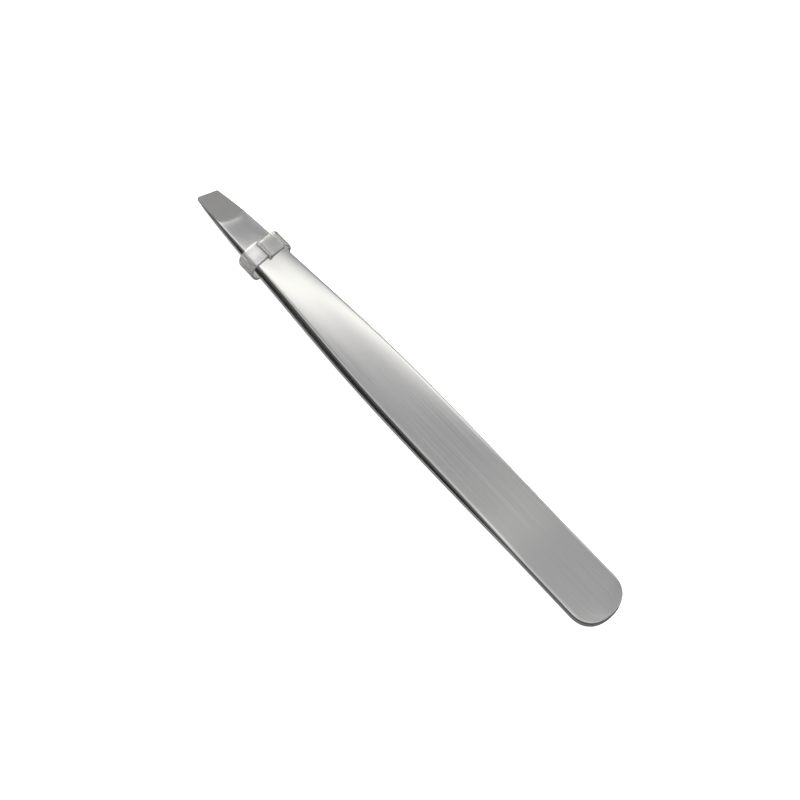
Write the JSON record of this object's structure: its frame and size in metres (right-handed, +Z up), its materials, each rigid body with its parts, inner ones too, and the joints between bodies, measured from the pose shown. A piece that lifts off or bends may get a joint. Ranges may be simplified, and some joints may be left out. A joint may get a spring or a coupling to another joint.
{
  "type": "slant tweezers",
  "caption": "Slant-tip tweezers: sprung stainless arms welded at the tail, bowed apart between, held shut by a slip-off clear plastic band near the tips.",
  "frame": {"origin": "middle of the lowest point, under the centre of the bounding box, on the plane between left and right", "axes": "+X from the tips to the rounded tail, +Z up across the two arms, +Y across the arms' width"},
  "size_m": [0.095, 0.0092, 0.006],
  "materials": {
    "steel": "stainless steel, finely brushed along the arms",
    "weld": "fused weld metal, matt, hidden between the arms",
    "clear_band": "clear soft plastic with a slightly milky surface"
  },
  "bodies": {
    "lower_arm": {"lower_arm_blade": "steel"},
    "tail": {"upper_arm_tail": "steel", "lower_arm_tail": "steel", "spot_welds": "weld"},
    "upper_arm": {"upper_arm_blade": "steel"},
    "band": {"tip_band": "clear_band"}
  },
  "joints": [
    {"name": "lower_arm_flex", "type": "hinge", "parent": "lower_arm", "child": "tail", "pos_m": [0.0205, 0, 0.00102], "axis": [0, 1, 0], "range_deg": [0, 3.5], "deforming": ["tip_band"]},
    {"name": "upper_arm_flex", "type": "hinge", "parent": "tail", "child": "upper_arm", "pos_m": [0.0205, 0, 0.00468], "axis": [0, 1, 0], "range_deg": [0, 3.5], "deforming": ["tip_band"]},
    {"name": "band_slide", "type": "slide", "parent": "lower_arm", "child": "band", "axis": [-1, 0, 0], "range_m": [0, 0.022]}
  ]
}
